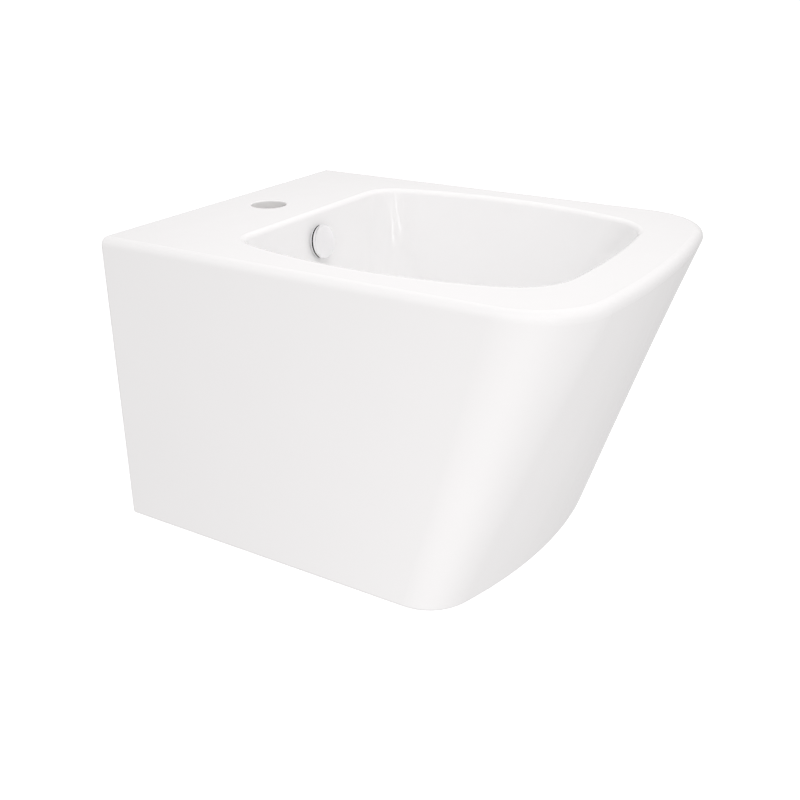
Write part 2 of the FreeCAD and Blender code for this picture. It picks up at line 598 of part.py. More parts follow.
def overflow_cap():
    """Disc that hides the overflow, held off the ring by three clip legs inside the spigot."""
    back = f"({RING_FRONT} + cap_gap)"
    body = turned("overflow_cap", [
        ("0", back), ("cap_radius", back), ("cap_radius", f"{back} + cap_thickness"),
        ("0", f"{back} + cap_thickness")])
    front = size("seal_thickness") + size("ring_thickness") + size("cap_gap") + size("cap_thickness")
    round_edges(body, "cap_edge", "cap_edge_radius",
                lambda edge: spans(edge, "Z", front) and len(edge.Vertexes) < 2)
    outer = f"sqrt(({SPIGOT_BORE} - leg_clearance) ^ 2 - (leg_width / 2) ^ 2)"
    leg = add_box(body, "Additive", "cap_leg", f"{outer} - leg_thickness", outer,
                  "-leg_width / 2", "leg_width / 2", f"{back} - leg_length", back)
    legs = body.newObject("PartDesign::PolarPattern", "cap_legs")
    legs.Originals = [leg]
    legs.Axis = (next(axis for axis in body.Origin.OriginFeatures if axis.Role == "Z_Axis"), [""])
    legs.Angle = 360
    legs.Occurrences = 3
    body.Tip = legs
    return at_overflow(body)


# Waste, about the drain's axis, with heights counted from the drain seat
def at_drain(body):
    """Put a body on the drain's axis with its zero height at the drain seat."""
    return place(body, y="-drain_depth", z=DRAIN_SEAT)


def flange_gasket():
    """Flat rubber ring under the waste flange."""
    return at_drain(ring_between("flange_gasket", "tube_radius + tube_clearance", "gasket_radius",
                                 "0", "gasket_thickness"))


def waste_body():
    """Flanged waste tube with the plug's seat, two overflow slots and the cartridge's cross."""
    body = turned("waste_body", [
        ("seat_radius", FLANGE_TOP), ("flange_radius", FLANGE_TOP),
        ("flange_radius", "gasket_thickness"), ("tube_radius", "gasket_thickness"),
        ("tube_radius", TAIL_TOP), ("tail_radius", TAIL_TOP), ("tail_radius", TAIL_FOOT),
        ("tube_bore", TAIL_FOOT), ("tube_bore", SEAT_FOOT)])
    top = size("gasket_thickness") + size("flange_thickness")
    round_edges(body, "flange_edge", "flange_edge_radius",
                lambda edge: spans(edge, "Z", top) and edge.BoundBox.XMax > size("flange_radius") - 0.1)
    add_box(body, "Subtractive", "overflow_slots", "-slot_width / 2", "slot_width / 2",
            "-flange_radius", "flange_radius", "slot_margin - duct_drop - duct_height",
            "-duct_drop - slot_margin")
    reach = "(tube_bore + tube_radius) / 2"
    foot = "-spider_drop - spider_height"
    add_box(body, "Additive", "cross_arm", f"-{reach}", reach, "-spider_rib / 2", "spider_rib / 2",
            foot, "-spider_drop")
    add_box(body, "Additive", "cross_beam", "-spider_rib / 2", "spider_rib / 2", f"-{reach}", reach,
            foot, "-spider_drop")
    hole = "cartridge_radius + cartridge_clearance"
    add_cylinder(body, "Additive", "cross_ring", f"{hole} + collar_wall", foot, "-spider_drop")
    add_cylinder(body, "Subtractive", "cross_hole", hole, foot, "-spider_drop")
    return at_drain(body)


def lower_gasket():
    """Tapered rubber ring under the drain collar."""
    inner = "tube_radius + tube_clearance"
    return at_drain(turned("lower_gasket", [
        (inner, COLLAR_FOOT), ("washer_radius", COLLAR_FOOT),
        ("washer_radius", f"{COLLAR_FOOT} - lower_gasket_thickness / 2"),
        ("washer_radius - lower_gasket_taper", GASKET_FOOT), (inner, GASKET_FOOT)]))


def slip_washer():
    """Plastic ring that lets the back nut turn without dragging the gasket."""
    return at_drain(ring_between("slip_washer", "tube_radius + tube_clearance", "washer_radius",
                                 SLIP_FOOT, GASKET_FOOT))


def back_nut():
    """Nut that draws the waste down on its gaskets."""
    return at_drain(hex_nut("back_nut", "back_nut_flats", "tube_radius + tube_clearance",
                            f"{SLIP_FOOT} - back_nut_height", "back_nut_height"))


# Plug and its push-to-close cartridge; the plug is modelled open, raised by its lift
def plug_cap():
    """Round plug with a boss that takes the stem."""
    bore = "stem_radius + stem_clearance"
    boss_foot = f"{PLUG_UNDERSIDE} - plug_boss_height"
    bore_top = f"{boss_foot} + stem_engagement"
    top = f"{PLUG_UNDERSIDE} + plug_thickness"
    body = turned("plug_cap", [
        ("0", bore_top), (bore, bore_top), (bore, boss_foot), ("plug_boss_radius", boss_foot),
        ("plug_boss_radius", PLUG_UNDERSIDE), ("plug_radius", PLUG_UNDERSIDE),
        ("plug_radius", top), ("0", top)])
    level = sum(size(name) for name in ("gasket_thickness", "flange_thickness", "plug_gap",
                                        "plug_lift", "plug_thickness"))
    round_edges(body, "plug_edge", "plug_edge_radius",
                lambda edge: spans(edge, "Z", level) and len(edge.Vertexes) < 2)
    return at_drain(body)


def plug_seal():
    """Rubber ring under the plug, tapered like the seat that it closes on."""
    inner = "plug_boss_radius + stem_clearance"
    step = "(plug_seal_height - plug_gap) * (seat_radius - tube_bore) / seat_height"
    edge = "seat_radius - plug_seal_clearance"
    return at_drain(turned("plug_seal", [
        (inner, PLUG_UNDERSIDE), (edge, PLUG_UNDERSIDE), (edge, f"{PLUG_UNDERSIDE} - plug_gap"),
        (f"{edge} - {step}", f"{PLUG_UNDERSIDE} - plug_seal_height"),
        (inner, f"{PLUG_UNDERSIDE} - plug_seal_height")]))


def plug_stem():
    """Stem from the plug down into the cartridge, with the piston that limits its travel."""
    top = f"{PLUG_UNDERSIDE} - plug_boss_height + stem_engagement"
    foot = f"{PISTON_TOP} - piston_length"
    return at_drain(turned("plug_stem", [
        ("0", foot), ("piston_radius", foot), ("piston_radius", PISTON_TOP),
        ("stem_radius", PISTON_TOP), ("stem_radius", top), ("0", top)]))


def cartridge_housing():
    """Cup that hangs in the cross of the waste and holds the spring."""
    floor = f"{CARTRIDGE_FOOT} + cartridge_floor"
    return at_drain(turned("cartridge_housing", [
        ("0", CARTRIDGE_FOOT), ("cartridge_radius", CARTRIDGE_FOOT),
        ("cartridge_radius", "-spider_drop"), ("cartridge_head_radius", "-spider_drop"),
        ("cartridge_head_radius", CARTRIDGE_TOP), ("cartridge_bore", CARTRIDGE_TOP),
        ("cartridge_bore", floor), ("0", floor)]))


def cartridge_guide():
    """Bush in the mouth of the cartridge that guides the stem and stops its piston."""
    return at_drain(ring_between("cartridge_guide", "stem_radius + stem_clearance",
                                 "cartridge_bore - guide_clearance",
                                 f"{CARTRIDGE_TOP} - guide_height", CARTRIDGE_TOP))


def helix_point(radius, pitch, angle, low):
    """A point of a helix and its direction there."""
    point = Vector(radius * math.cos(angle), radius * math.sin(angle), low + pitch * angle / (2 * math.pi))
    direction = Vector(-radius * math.sin(angle), radius * math.cos(angle), pitch / (2 * math.pi))
    direction.normalize()
    return point, direction


def tangent_arc(start, direction, end):
    """The arc that leaves a point in a direction and ends at another point."""
    chord = end - start
    across = chord - direction * chord.dot(direction)
    across.normalize()
    radius = chord.Length ** 2 / (2 * chord.dot(across))
    centre = start + across * radius
    middle = (start + end) * 0.5 - centre
    middle.normalize()
    return Part.Arc(start, centre + middle * radius, end)


def biarc(start, start_direction, end, end_direction):
    """Two arcs that join two points and keep the direction at each."""
    gap = end - start
    both = start_direction + end_direction
    fall = 2 * (1 - start_direction.dot(end_direction))
    reach = (math.sqrt(gap.dot(both) ** 2 + fall * gap.dot(gap)) - gap.dot(both)) / fall
    joint = (start + end + (start_direction - end_direction) * reach) * 0.5
    middle_direction = (end - end_direction * reach) - (start + start_direction * reach)
    middle_direction.normalize()
    return [tangent_arc(start, start_direction, joint), tangent_arc(joint, middle_direction, end)]


def plug_spring():
    """Coil spring between the cartridge's floor and the piston, one unbroken wire."""
    wire = size("spring_wire")
    radius = size("spring_radius")
    turns = int(size("spring_turns"))
    floor = size("cartridge_floor") - size("spider_drop") - size("cartridge_length")
    piston_foot = (size("cartridge_head") - size("spider_drop") - size("guide_height")
                   - size("piston_gap") - size("piston_length"))
    low = floor + wire / 2 + size("piston_gap")
    high = piston_foot - wire / 2 - size("piston_gap")
    pitch = (high - low) / turns
    stations = [helix_point(radius, pitch, quarter * math.pi / 2, low) for quarter in range(4 * turns + 1)]
    edges = []
    for (start, leaving), (end, arriving) in zip(stations, stations[1:]):
        edges += [curve.toShape() for curve in biarc(start, leaving, end, arriving)]
    path = Part.Wire(edges)
    section = Part.Wire([Part.Circle(stations[0][0], stations[0][1], wire / 2).toShape()])
    spring = doc.addObject("Part::Feature", "plug_spring")
    spring.Label = "plug_spring"
    spring.Shape = path.makePipeShell([section], True, False)
    print(f"plug_spring: gap between turns {pitch - wire:.2f} mm")
    return at_drain(spring)


# Wall fixings, about an axis that points out of the wall, one at each fixing hole
def fixing_pair(name, body):
    """A node of two like pieces, one at each fixing hole."""
    body.Label = f"{name}_right"
    place(body, x="fixing_spacing / 2", tilt="90 deg")
    twin = doc.addObject("Part::Mirroring", f"{name}_left")
    twin.Source = body
    twin.Normal = Vector(1, 0, 0)
    pair = doc.addObject("Part::Compound", name)
    pair.Label = name
    pair.Links = [body, twin]
    return pair


def fixing_sleeves():
    """Flanged plastic sleeves that keep the studs off the ceramic."""
    outer = "fixing_hole_radius - sleeve_clearance"
    return fixing_pair("fixing_sleeves", turned("sleeve", [
        ("sleeve_bore", "0"), (outer, "0"), (outer, "rear_wall"),
        ("sleeve_flange_radius", "rear_wall"), ("sleeve_flange_radius", SLEEVE_FRONT),
        ("sleeve_bore", SLEEVE_FRONT)]))


def fixing_washers():
    """Steel washers under the nuts."""
    return fixing_pair("fixing_washers", ring_between(
        "washer", "sleeve_bore", "fixing_washer_radius", SLEEVE_FRONT, WASHER_FRONT))


def fixing_nuts():
    """Nuts that pull the casting to the wall."""
    return fixing_pair("fixing_nuts", hex_nut(
        "nut", "fixing_nut_flats", "fixing_nut_bore", WASHER_FRONT, "fixing_nut_height"))


pieces = [make() for make in (
    ceramic_body, overflow_seal, overflow_ring, overflow_cap, flange_gasket, waste_body, lower_gasket,
    slip_washer, back_nut, plug_cap, plug_seal, plug_stem, cartridge_housing, cartridge_guide,
    plug_spring, fixing_sleeves, fixing_washers, fixing_nuts)]
doc.recompute()

# Nothing is written unless every feature is sound
for thing in doc.Objects:
    if {"Invalid", "Error"} & set(thing.State):
        raise RuntimeError(f"{thing.Name} failed: {thing.State}")
for piece in pieces:
    if piece.Shape.isNull() or not piece.Shape.isValid():
        raise RuntimeError(f"{piece.Label} has no sound shape")

os.makedirs("parts", exist_ok=True)
for piece in pieces:
    piece.Shape.exportStep(f"parts/{piece.Label}.step")
    print(f"{piece.Label}: {len(piece.Shape.Solids)} solids, {piece.Shape.Volume / 1000:.2f} cm3")
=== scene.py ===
"""A wall-hung bidet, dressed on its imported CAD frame: glazed china, chrome, rubber, brass and studio light."""

import logging
import math
from dataclasses import dataclass, field
from enum import Enum
from typing import ClassVar

import bmesh
import bpy
from mathutils import Matrix, Vector


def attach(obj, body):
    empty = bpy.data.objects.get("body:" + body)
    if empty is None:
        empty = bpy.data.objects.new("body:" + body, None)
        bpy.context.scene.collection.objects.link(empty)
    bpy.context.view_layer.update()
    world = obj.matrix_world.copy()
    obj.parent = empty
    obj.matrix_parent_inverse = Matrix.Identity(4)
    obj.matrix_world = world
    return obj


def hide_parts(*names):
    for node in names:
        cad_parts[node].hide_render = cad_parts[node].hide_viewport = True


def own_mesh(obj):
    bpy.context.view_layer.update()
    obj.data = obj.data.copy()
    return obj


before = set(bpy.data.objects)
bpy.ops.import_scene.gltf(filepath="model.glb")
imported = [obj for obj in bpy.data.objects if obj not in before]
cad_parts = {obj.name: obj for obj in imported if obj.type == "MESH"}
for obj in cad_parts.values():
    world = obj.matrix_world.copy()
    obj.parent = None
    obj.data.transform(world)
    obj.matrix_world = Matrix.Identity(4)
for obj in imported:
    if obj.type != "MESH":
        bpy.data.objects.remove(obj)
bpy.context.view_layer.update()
MM = 0.001
WELD = 0.001 * MM
FIXED_BODY = "bidet"
WAVE_PERIOD = 0.314  # of a wave node, over its scale
LOG = logging.getLogger("bidet")
Point = tuple[float, float, float]
Span = tuple[float, float]


class Slot(Enum):
    """The record's material slots."""

    CERAMIC = "ceramic"
    CHROME = "chrome"
    RUBBER = "rubber"
    NYLON = "nylon"
    BRASS = "brass"
    STEEL = "steel"


Finishes = dict[Slot, bpy.types.Material]


def linear(hex_colour: str) -> tuple[float, float, float, float]:
    """Turn an sRGB hex colour into linear RGBA.

    Args:
        hex_colour: six hex digits, such as "F4F2EF".

    Returns:
        The colour in linear light, with an alpha of 1.
    """
    channels = [int(hex_colour[i:i + 2], 16) / 255 for i in (0, 2, 4)]
    red, green, blue = (c / 12.92 if c <= 0.04045 else ((c + 0.055) / 1.055) ** 2.4 for c in channels)
    return red, green, blue, 1.0


def add_node(tree: bpy.types.NodeTree, kind: str, inputs: dict | None = None, **settings: object) -> bpy.types.Node:
    """Add one shader node with its settings, and set or link its inputs.

    Args:
        tree: the node tree to add to.
        kind: the node's type without its prefix, such as "Bump".
        inputs: a value or an output socket for each named or numbered input.
        settings: the node's own properties.

    Returns:
        The new node.
    """
    node = tree.nodes.new("ShaderNode" + kind)
    for key, value in settings.items():
        setattr(node, key, value)
    for key, value in (inputs or {}).items():
        if isinstance(value, bpy.types.NodeSocket):
            tree.links.new(value, node.inputs[key])
        else:
            node.inputs[key].default_value = value
    return node


def new_material(name: str) -> tuple[bpy.types.Material, bpy.types.NodeTree]:
    """Start an empty node material.

    Args:
        name: the material's name.

    Returns:
        The material and its node tree.
    """
    material = bpy.data.materials.new(name)
    material.use_nodes = True
    material.node_tree.nodes.clear()
    return material, material.node_tree


def finish_material(tree: bpy.types.NodeTree, shader: bpy.types.Node) -> None:
    """Link the shader to the material's output.

    Args:
        tree: the material's node tree.
        shader: the node that shades the surface.
    """
    add_node(tree, "OutputMaterial", {"Surface": shader.outputs[0]})


@dataclass(frozen=True)
class GlazedChina:
    """Vitreous china, slip-cast, sprayed with white glaze outside and ground flat where it meets the wall.

    The splits are planes that lie in the hollow of the casting, between its outer shell and its basin. They tell
    which way a bare inner face looks.
    """

    glaze: str = "F8F8F8"
    thick_glaze: str = "F6F6F6"
    biscuit: str = "DDD8CF"
    pale_biscuit: str = "EAE6DF"
    glaze_roughness: float = 0.04
    biscuit_roughness: float = 0.72
    ior: float = 1.5
    pooling: float = 90 * MM
    ripple: float = 24 * MM
    ripple_depth: float = 1 * MM
    ripple_strength: float = 0.05
    grain: float = 0.9 * MM
    grain_depth: float = 0.2 * MM
    grain_strength: float = 0.5
    basin_middle: Point = (0.0, -0.245, 0.03)
    side_split: float = 160 * MM
    front_split: float = 410.4 * MM
    front_slope: float = 0.312
    corner_split: float = 528 * MM
    rear_split: float = 50 * MM
    low_split: float = -100 * MM
    deck_underside: float = 80.5 * MM
    foot_top: float = -170 * MM
    ground_skin: float = 0.2 * MM
    ceiling_turn: float = -0.7

    def bare_mask(self, tree: bpy.types.NodeTree) -> bpy.types.NodeSocket:
        """Find where no glaze lies: the flat wall face and the hidden inside of the hollow casting.

        Args:
            tree: the material's node tree.

        Returns:
            A socket that is 1 on bare china and 0 on glaze.
        """
        coords = add_node(tree, "TexCoord")
        x, y, z = add_node(tree, "SeparateXYZ", {0: coords.outputs["Object"]}).outputs
        facing_z = add_node(tree, "SeparateXYZ", {0: coords.outputs["Normal"]}).outputs[2]
        from_middle = add_node(tree, "VectorMath", {0: coords.outputs["Object"], 1: self.basin_middle},
                               operation="SUBTRACT")
        outwards = add_node(tree, "VectorMath", {0: from_middle.outputs[0], 1: coords.outputs["Normal"]},
                            operation="DOT_PRODUCT").outputs["Value"]
        found = {"x": x, "y": y, "z": z, "facing z": facing_z, "outwards": outwards}
        for name, operation, *terms in (
                ("depth", "MULTIPLY", "y", -1.0),
                ("breadth", "ABSOLUTE", "x"),
                ("lean", "MULTIPLY_ADD", "z", -self.front_slope, "depth"),
                ("reach", "ADD", "breadth", "lean"),
                # The outer shell lies beyond one of the splits
                ("beside", "GREATER_THAN", "breadth", self.side_split),
                ("ahead", "GREATER_THAN", "lean", self.front_split),
                ("around", "GREATER_THAN", "reach", self.corner_split),
                ("behind", "LESS_THAN", "depth", self.rear_split),
                ("below", "LESS_THAN", "z", self.low_split),
                ("flank", "MAXIMUM", "beside", "ahead"),
                ("end", "MAXIMUM", "behind", "below"),
                ("side", "MAXIMUM", "flank", "around"),
                ("shell", "MAXIMUM", "side", "end"),
                # In the hollow, the shell's faces look towards the basin and the basin's faces look away from it
                ("turn", "MULTIPLY_ADD", "shell", -2.0, 1.0),
                ("away", "MULTIPLY", "outwards", "turn"),
                ("hollow", "GREATER_THAN", "away", 0.0),
                ("downward", "LESS_THAN", "facing z", self.ceiling_turn),
                ("above foot", "GREATER_THAN", "z", self.foot_top),
                ("ceiling", "MULTIPLY", "downward", "above foot"),
                ("hidden", "MAXIMUM", "hollow", "ceiling"),
                ("under deck", "LESS_THAN", "z", self.deck_underside),
                ("inside", "MULTIPLY", "hidden", "under deck"),
                ("wall face", "LESS_THAN", "depth", self.ground_skin),
                ("bare", "MAXIMUM", "inside", "wall face")):
            inputs = {place: found.get(term, term) for place, term in enumerate(terms)}
            found[name] = add_node(tree, "Math", inputs, operation=operation).outputs[0]
        return found["bare"]

    def material(self) -> bpy.types.Material:
        """Build the material.

        Returns:
            Glossy white glaze with a slow ripple, and matt grainy biscuit where it is bare.
        """
        material, tree = new_material("vitreous_china")
        bare = self.bare_mask(tree)
        place = add_node(tree, "TexCoord").outputs["Object"]
        # Sprayed glaze flows out smooth but not flat: reflections swim a little every few centimetres
        ripple = add_node(tree, "TexNoise", {"Vector": place, "Scale": 1 / self.ripple, "Detail": 1.0})
        glaze_bump = add_node(tree, "Bump", {"Height": ripple.outputs["Fac"], "Strength": self.ripple_strength,
                                             "Distance": self.ripple_depth})
        # Where it pools, the white is a shade cooler
        pool = add_node(tree, "TexNoise", {"Vector": place, "Scale": 1 / self.pooling, "Detail": 2.0})
        white = add_node(tree, "Mix", {0: pool.outputs["Fac"], 6: linear(self.glaze), 7: linear(self.thick_glaze)},
                         data_type="RGBA")
        # Bare biscuit shows a fine sandy grain
        grain = add_node(tree, "TexNoise", {"Vector": place, "Scale": 1 / self.grain, "Detail": 3.0})
        sand = add_node(tree, "Math", {0: grain.outputs["Fac"], 1: bare}, operation="MULTIPLY")
        bump = add_node(tree, "Bump", {"Height": sand.outputs[0], "Strength": self.grain_strength,
                                       "Distance": self.grain_depth, "Normal": glaze_bump.outputs[0]})
        clay = add_node(tree, "Mix", {0: grain.outputs["Fac"], 6: linear(self.biscuit), 7: linear(self.pale_biscuit)},
                        data_type="RGBA")
        colour = add_node(tree, "Mix", {0: bare, 6: white.outputs[2], 7: clay.outputs[2]}, data_type="RGBA")
        gloss = add_node(tree, "MapRange", {"Value": bare, "To Min": self.glaze_roughness,
                                            "To Max": self.biscuit_roughness})
        finish_material(tree, add_node(tree, "BsdfPrincipled", {
            "Base Color": colour.outputs[2], "Roughness": gloss.outputs[0], "IOR": self.ior,
            "Normal": bump.outputs[0]}))
        return material


@dataclass(frozen=True)
class ChromePlate:
    """Bright chrome over polished brass: a near mirror with a breath of polishing haze."""

    colour: str = "FAFAFB"
    gloss: Span = (0.03, 0.09)
    haze: float = 6 * MM
    haze_depth: float = 0.2 * MM
    haze_strength: float = 0.04

    def material(self) -> bpy.types.Material:
        """Build the material.

        Returns:
            A mirror whose gloss drifts a little from place to place.
        """
        material, tree = new_material("chrome_plate")
        place = add_node(tree, "TexCoord").outputs["Object"]
        haze = add_node(tree, "TexNoise", {"Vector": place, "Scale": 1 / self.haze, "Detail": 2.0})
        gloss = add_node(tree, "MapRange", {"Value": haze.outputs["Fac"],
                                            "To Min": self.gloss[0], "To Max": self.gloss[1]})
        bump = add_node(tree, "Bump", {"Height": haze.outputs["Fac"], "Strength": self.haze_strength,
                                       "Distance": self.haze_depth})
        finish_material(tree, add_node(tree, "BsdfPrincipled", {
            "Base Color": linear(self.colour), "Metallic": 1.0, "Roughness": gloss.outputs[0],
            "Normal": bump.outputs[0]}))
        return material


@dataclass(frozen=True)
class MouldedRubber:
    """Black EPDM from a mould: matt, faintly bloomed with grey."""

    colour: str = "1B1B1D"
    bloom: str = "35353A"
    gloss: Span = (0.5, 0.75)
    cloud: float = 5 * MM
    grain: float = 0.35 * MM
    grain_depth: float = 0.05 * MM
    grain_strength: float = 0.3

    def material(self) -> bpy.types.Material:
        """Build the material.

        Returns:
            Matt black with a grey bloom and a fine mould grain.
        """
        material, tree = new_material("moulded_rubber")
        place = add_node(tree, "TexCoord").outputs["Object"]
        cloud = add_node(tree, "TexNoise", {"Vector": place, "Scale": 1 / self.cloud, "Detail": 3.0})
        grain = add_node(tree, "TexNoise", {"Vector": place, "Scale": 1 / self.grain, "Detail": 2.0})
        colour = add_node(tree, "Mix", {0: cloud.outputs["Fac"], 6: linear(self.colour), 7: linear(self.bloom)},
                          data_type="RGBA")
        gloss = add_node(tree, "MapRange", {"Value": cloud.outputs["Fac"],
                                            "To Min": self.gloss[0], "To Max": self.gloss[1]})
        bump = add_node(tree, "Bump", {"Height": grain.outputs["Fac"], "Strength": self.grain_strength,
                                       "Distance": self.grain_depth})
        finish_material(tree, add_node(tree, "BsdfPrincipled", {
            "Base Color": colour.outputs[2], "Roughness": gloss.outputs[0], "Normal": bump.outputs[0]}))
        return material


@dataclass(frozen=True)
class NaturalNylon:
    """Unpigmented moulded nylon: milky off-white, satin, cloudy where the melt cooled unevenly."""

    colour: str = "E9E4D8"
    cloudy: str = "DAD3C2"
    gloss: Span = (0.3, 0.45)
    ior: float = 1.53
    cloud: float = 9 * MM
    grain: float = 0.4 * MM
    grain_depth: float = 0.03 * MM
    grain_strength: float = 0.2

    def material(self) -> bpy.types.Material:
        """Build the material.

        Returns:
            Satin off-white with soft clouds and a faint mould grain.
        """
        material, tree = new_material("natural_nylon")
        place = add_node(tree, "TexCoord").outputs["Object"]
        cloud = add_node(tree, "TexNoise", {"Vector": place, "Scale": 1 / self.cloud, "Detail": 2.0})
        grain = add_node(tree, "TexNoise", {"Vector": place, "Scale": 1 / self.grain, "Detail": 2.0})
        colour = add_node(tree, "Mix", {0: cloud.outputs["Fac"], 6: linear(self.colour), 7: linear(self.cloudy)},
                          data_type="RGBA")
        gloss = add_node(tree, "MapRange", {"Value": cloud.outputs["Fac"],
                                            "To Min": self.gloss[0], "To Max": self.gloss[1]})
        bump = add_node(tree, "Bump", {"Height": grain.outputs["Fac"], "Strength": self.grain_strength,
                                       "Distance": self.grain_depth})
        finish_material(tree, add_node(tree, "BsdfPrincipled", {
            "Base Color": colour.outputs[2], "Roughness": gloss.outputs[0], "IOR": self.ior,
            "Normal": bump.outputs[0]}))
        return material


@dataclass(frozen=True)
class TurnedBrass:
    """Brass from the lathe: golden, with fine tool rings round the drain's axis and a little dulling."""

    colour: str = "D2AE62"
    dulled: str = "B08B45"
    dulling: float = 7 * MM
    gloss: Span = (0.18, 0.38)
    ring: float = 0.35 * MM
    ring_depth: float = 0.03 * MM
    ring_strength: float = 0.25
    ring_waver: float = 0.4
    axis: Point = (0.0, 0.225, 0.0)

    def material(self) -> bpy.types.Material:
        """Build the material.

        Returns:
            Golden metal with rings on its ends and round its sides.
        """
        material, tree = new_material("turned_brass")
        place = add_node(tree, "TexCoord").outputs["Object"]
        centred = add_node(tree, "Mapping", {"Vector": place, "Location": self.axis}).outputs[0]
        dull = add_node(tree, "TexNoise", {"Vector": place, "Scale": 1 / self.dulling, "Detail": 3.0})
        waves = {"Vector": centred, "Scale": WAVE_PERIOD / self.ring, "Distortion": self.ring_waver}
        end_rings = add_node(tree, "TexWave", waves, wave_type="RINGS", rings_direction="Z")
        side_rings = add_node(tree, "TexWave", waves, wave_type="BANDS", bands_direction="Z")
        rings = add_node(tree, "Math", {0: end_rings.outputs["Fac"], 1: side_rings.outputs["Fac"]}, operation="ADD")
        colour = add_node(tree, "Mix", {0: dull.outputs["Fac"], 6: linear(self.colour), 7: linear(self.dulled)},
                          data_type="RGBA")
        gloss = add_node(tree, "MapRange", {"Value": dull.outputs["Fac"],
                                            "To Min": self.gloss[0], "To Max": self.gloss[1]})
        bump = add_node(tree, "Bump", {"Height": rings.outputs[0], "Strength": self.ring_strength,
                                       "Distance": self.ring_depth})
        finish_material(tree, add_node(tree, "BsdfPrincipled", {
            "Base Color": colour.outputs[2], "Metallic": 1.0, "Roughness": gloss.outputs[0],
            "Normal": bump.outputs[0]}))
        return material


@dataclass(frozen=True)
class ZincSteel:
    """Zinc-plated steel: cool silver with a clouded, finely crystalline sheen."""

    colour: str = "C6CACE"
    clouded: str = "AEB2B6"
    cloud: float = 6 * MM
    cloud_depth: float = 0.1 * MM
    cloud_strength: float = 0.1
    crystal: float = 1.2 * MM
    gloss: Span = (0.26, 0.42)

    def material(self) -> bpy.types.Material:
        """Build the material.

        Returns:
            Silver metal whose crystals catch the light differently.
        """
        material, tree = new_material("zinc_plated_steel")
        place = add_node(tree, "TexCoord").outputs["Object"]
        cloud = add_node(tree, "TexNoise", {"Vector": place, "Scale": 1 / self.cloud, "Detail": 3.0})
        crystal = add_node(tree, "TexVoronoi", {"Vector": place, "Scale": 1 / self.crystal})
        colour = add_node(tree, "Mix", {0: cloud.outputs["Fac"], 6: linear(self.colour), 7: linear(self.clouded)},
                          data_type="RGBA")
        gloss = add_node(tree, "MapRange", {"Value": crystal.outputs["Color"],
                                            "To Min": self.gloss[0], "To Max": self.gloss[1]})
        bump = add_node(tree, "Bump", {"Height": cloud.outputs["Fac"], "Strength": self.cloud_strength,
                                       "Distance": self.cloud_depth})
        finish_material(tree, add_node(tree, "BsdfPrincipled", {
            "Base Color": colour.outputs[2], "Metallic": 1.0, "Roughness": gloss.outputs[0],
            "Normal": bump.outputs[0]}))
        return material


@dataclass(frozen=True)
class ScrewThread:
    """A right-hand screw thread on the z axis: the radii of its foot and crest, and its pitch.

    A turn has a number of steps, and the ends ease down over a share of the pitch.
    """

    foot: float
    crest: float
    pitch: float
    steps: int = 48
    ease: float = 0.6
    # Shares of the way from foot to crest, and of the pitch
    profile: ClassVar[tuple[Span, ...]] = (
        (-0.04, 0.05), (0.9, 0.41), (1.0, 0.46), (1.0, 0.54), (0.9, 0.59), (-0.04, 0.95))

    def ridge(self, low: float, high: float) -> bmesh.types.BMesh:
        """Wind one closed ridge between two heights, eased down to its foot at both ends.

        Args:
            low: height of its lower end.
            high: height of its upper end.

        Returns:
            The ridge, with its base just under the foot.
        """
        shape = bmesh.new()
        tall = self.crest - self.foot
        points = [shape.verts.new((self.foot + out * tall, 0.0, low + up * self.pitch))
                  for out, up in self.profile]
        lines = [shape.edges.new(pair) for pair in zip(points, points[1:] + points[:1])]
        steps = round(((high - low) / self.pitch - 1) * self.steps)
        bmesh.ops.spin(shape, geom=points + lines, cent=(0.0, 0.0, 0.0), axis=(0.0, 0.0, 1.0),
                       dvec=(0.0, 0.0, self.pitch / self.steps), angle=math.tau * steps / self.steps, steps=steps)
        bmesh.ops.holes_fill(shape, edges=[edge for edge in shape.edges if edge.is_boundary])
        for vert in shape.verts:
            radius = vert.co.xy.length
            eased = min(vert.co.z - low, high - vert.co.z) / (self.ease * self.pitch)
            vert.co.xy *= (self.foot + min((radius - self.foot) / tall, eased) * tall) / radius
        bmesh.ops.recalc_face_normals(shape, faces=shape.faces[:])
        return shape


@dataclass
class SubAssembly:
    """Pieces of the bidet that are fitted together, with the slot of each CAD node and the finishes for the slots."""

    finishes: Finishes
    slots: ClassVar[dict[str, Slot]] = {}
    sharp_edge: ClassVar[float] = 32.0

    def build(self) -> None:
        """Build the meshes that replace or add to the CAD nodes: none, unless a sub-assembly says so."""

    def dress(self) -> None:
        """Give the CAD nodes their finishes."""
        for name, slot in self.slots.items():
            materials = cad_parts[name].data.materials
            materials.clear()
            materials.append(self.finishes[slot])
            LOG.info("%s: %s", name, self.finishes[slot].name)

    def joined_copy(self, name: str) -> bmesh.types.BMesh:
        """Copy a CAD node's mesh and join up its loose triangles.

        Args:
            name: the node's name.

        Returns:
            The copy, closed.
        """
        shape = bmesh.new()
        shape.from_mesh(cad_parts[name].data)
        bmesh.ops.remove_doubles(shape, verts=shape.verts[:], dist=WELD)
        return shape

    def add_piece(self, name: str, shape: bmesh.types.BMesh, slot: Slot) -> bpy.types.Object:
        """Make an object of a finished shape, smooth apart from its sharp edges.

        Args:
            name: the piece's name.
            shape: its mesh, which is freed.
            slot: the material slot that it takes its finish from.

        Returns:
            The new object.
        """
        mesh = bpy.data.meshes.new(name)
        shape.to_mesh(mesh)
        shape.free()
        mesh.shade_smooth()
        mesh.set_sharp_from_angle(angle=math.radians(self.sharp_edge))
        mesh.materials.append(self.finishes[slot])
        piece = bpy.data.objects.new(name, mesh)
        bpy.context.collection.objects.link(piece)
        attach(piece, FIXED_BODY)
        LOG.info("%s: %s, %d faces", name, self.finishes[slot].name, len(mesh.polygons))
        return piece


